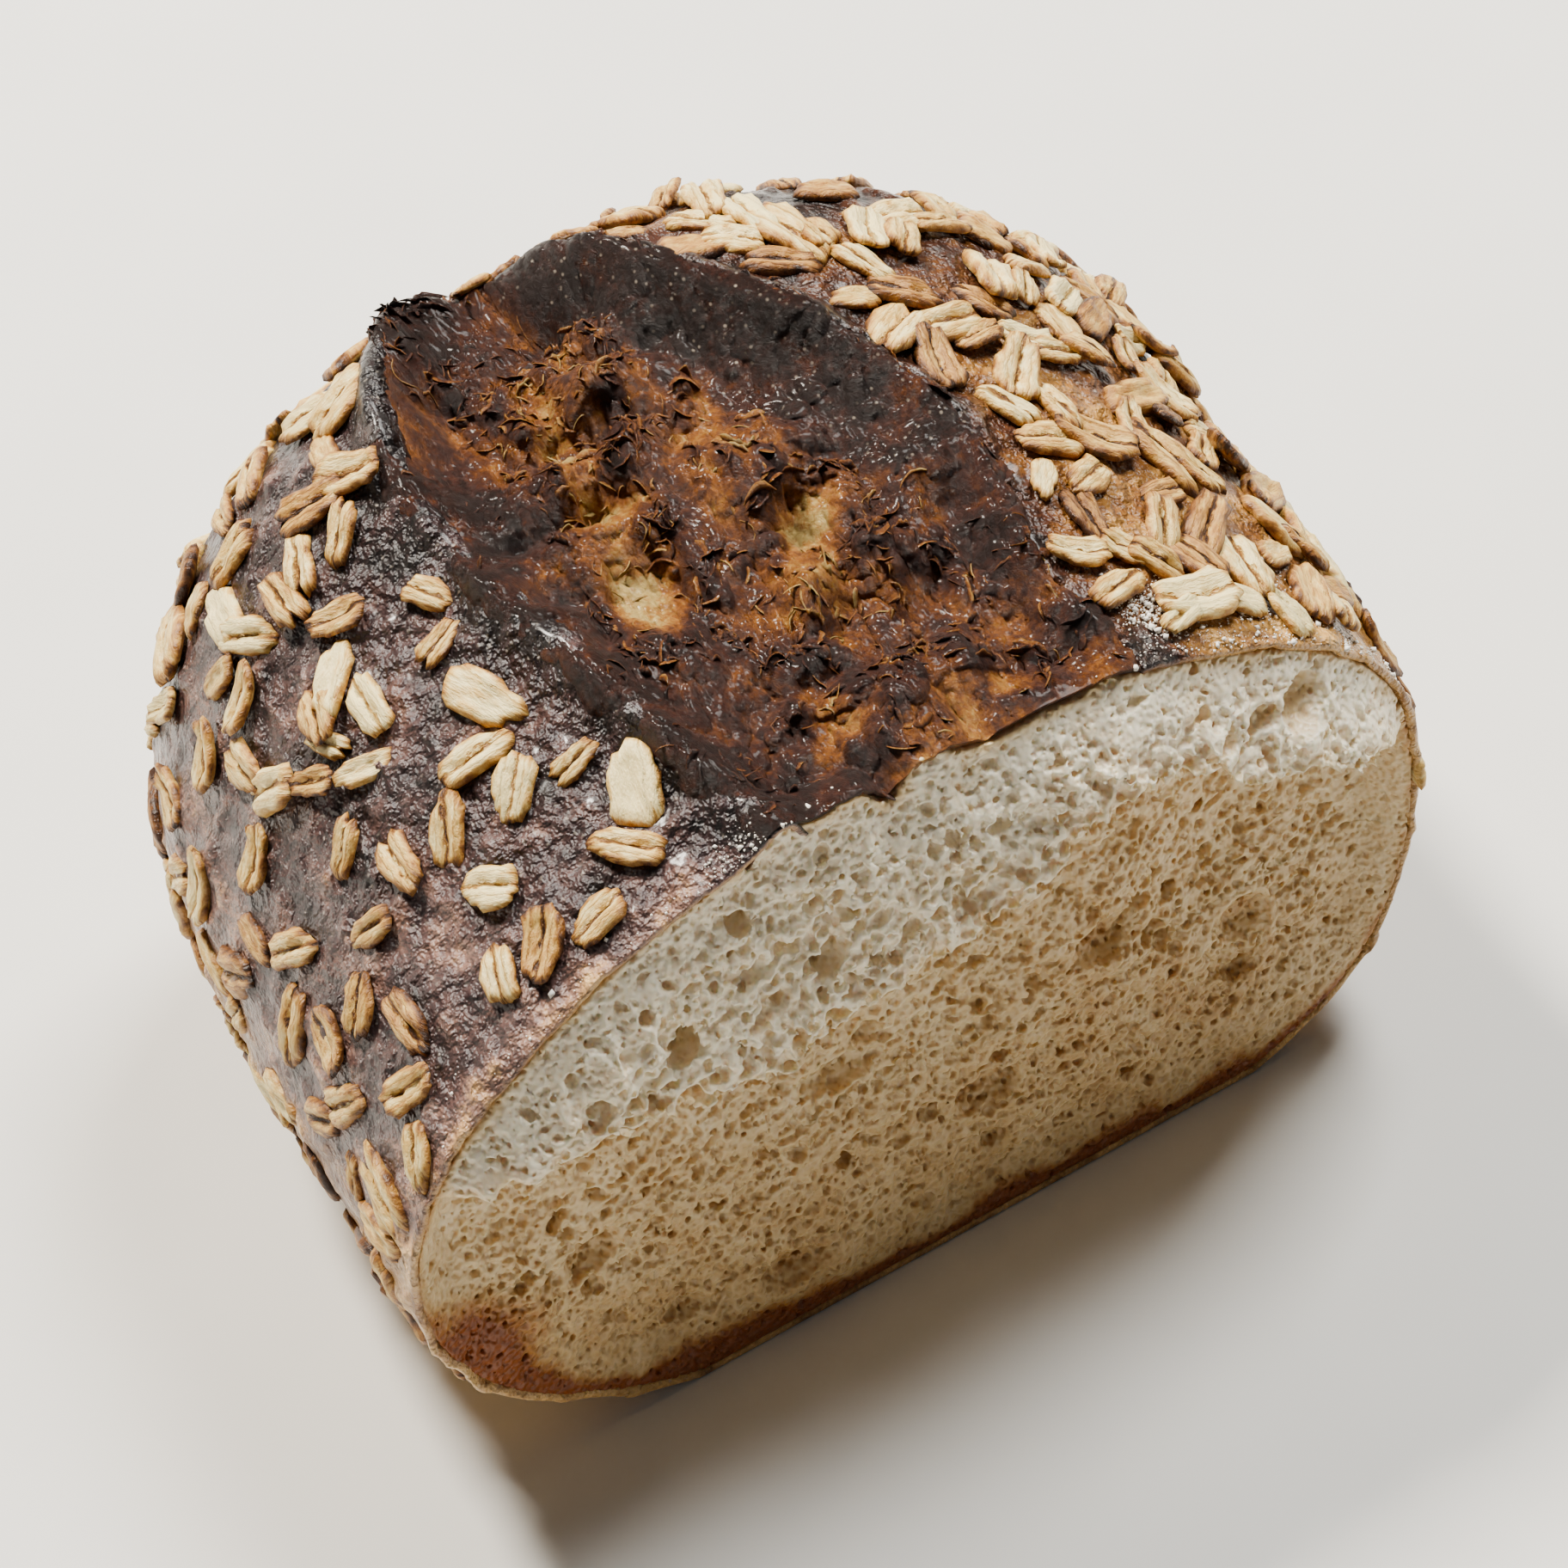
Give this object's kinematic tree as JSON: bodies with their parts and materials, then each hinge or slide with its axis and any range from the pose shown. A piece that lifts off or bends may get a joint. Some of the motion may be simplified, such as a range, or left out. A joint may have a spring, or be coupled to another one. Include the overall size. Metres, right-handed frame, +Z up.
{
  "type": "sourdough loaf",
  "caption": "Cut half of an oval sourdough loaf with a torn bloom along the top, rolled oats on the flanks and an open crumb cut face.",
  "frame": {"origin": "middle of the flat base the loaf rests on, between its sides and between the far end and the cut", "axes": "+Z up, +X along the loaf out of the cut face, +Y across the loaf"},
  "size_m": [0.1012, 0.1335, 0.093],
  "materials": {
    "crust": "baked brown crust, slightly glossy, dark to golden",
    "crumb": "soft open cream crumb",
    "oats": "dry rolled oat flakes, cream to toasted"
  },
  "bodies": {
    "root": {"loaf": "crust"}
  },
  "joints": []
}
